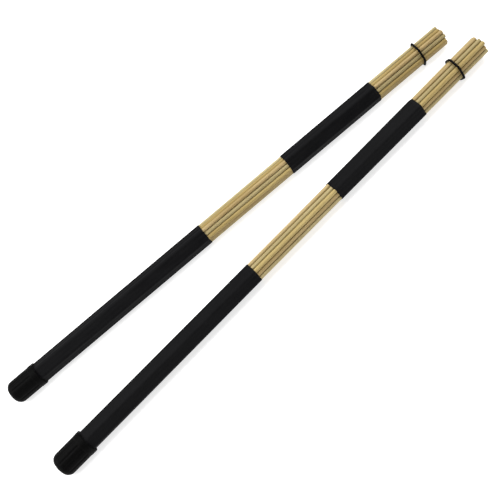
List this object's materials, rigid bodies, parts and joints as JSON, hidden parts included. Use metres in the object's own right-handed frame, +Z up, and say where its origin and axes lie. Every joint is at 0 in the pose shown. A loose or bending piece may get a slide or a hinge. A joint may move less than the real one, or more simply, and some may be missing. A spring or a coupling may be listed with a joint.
{
  "type": "bundled-dowel drum rods",
  "caption": "Drum rods: thin wooden dowels bundled by a shrunk grip sleeve and a centre band, with a sliding O-ring near the tip and a fluted rubber butt cap.",
  "frame": {"origin": "middle of the pair's footprint, on the surface the rods lie on", "axes": "+X from the butts to the tips, halfway between the two rods; +Y towards the left rod; +Z up"},
  "size_m": [0.4099, 0.101, 0.0191],
  "materials": {
    "wood_pale": "bare sanded wood, pale",
    "wood_warm": "bare sanded wood, warm",
    "wood_honey": "bare sanded wood, honey",
    "shrink_sleeve": "satin black heat-shrink tube",
    "ring_rubber": "smooth black rubber",
    "cap_rubber": "moulded black rubber"
  },
  "bodies": {
    "left_rod": {"left_dowel_core": "wood_pale", "left_dowel_inner_1": "wood_honey", "left_dowel_inner_2": "wood_warm", "left_dowel_inner_3": "wood_pale", "left_dowel_inner_4": "wood_honey", "left_dowel_inner_5": "wood_warm", "left_dowel_inner_6": "wood_pale", "left_dowel_outer_1": "wood_honey", "left_dowel_outer_2": "wood_warm", "left_dowel_outer_3": "wood_pale", "left_dowel_outer_4": "wood_honey", "left_dowel_outer_5": "wood_warm", "left_dowel_outer_6": "wood_pale", "left_dowel_outer_7": "wood_honey", "left_dowel_outer_8": "wood_warm", "left_dowel_outer_9": "wood_pale", "left_dowel_outer_10": "wood_honey", "left_dowel_outer_11": "wood_warm", "left_dowel_outer_12": "wood_pale", "left_grip_sleeve": "shrink_sleeve", "left_centre_band": "shrink_sleeve", "left_butt_cap": "cap_rubber"},
    "left_ring": {"left_o_ring": "ring_rubber"},
    "right_rod": {"right_dowel_core": "wood_warm", "right_dowel_inner_1": "wood_pale", "right_dowel_inner_2": "wood_honey", "right_dowel_inner_3": "wood_warm", "right_dowel_inner_4": "wood_pale", "right_dowel_inner_5": "wood_honey", "right_dowel_inner_6": "wood_warm", "right_dowel_outer_1": "wood_pale", "right_dowel_outer_2": "wood_honey", "right_dowel_outer_3": "wood_warm", "right_dowel_outer_4": "wood_pale", "right_dowel_outer_5": "wood_honey", "right_dowel_outer_6": "wood_warm", "right_dowel_outer_7": "wood_pale", "right_dowel_outer_8": "wood_honey", "right_dowel_outer_9": "wood_warm", "right_dowel_outer_10": "wood_pale", "right_dowel_outer_11": "wood_honey", "right_dowel_outer_12": "wood_warm", "right_grip_sleeve": "shrink_sleeve", "right_centre_band": "shrink_sleeve", "right_butt_cap": "cap_rubber"},
    "right_ring": {"right_o_ring": "ring_rubber"}
  },
  "joints": [
    {"name": "left_ring_slide", "type": "slide", "parent": "left_rod", "child": "left_ring", "axis": [0.9981, -0.0621, -0.0002], "range_m": [-0.038, 0.0135]},
    {"name": "right_ring_slide", "type": "slide", "parent": "right_rod", "child": "right_ring", "axis": [0.9981, 0.0621, 0.0017], "range_m": [-0.0345, 0.017]},
    {"name": "right_rod_spread", "type": "slide", "parent": "left_rod", "child": "right_rod", "axis": [0, -1, 0], "range_m": [-0.012, 0.12]}
  ]
}
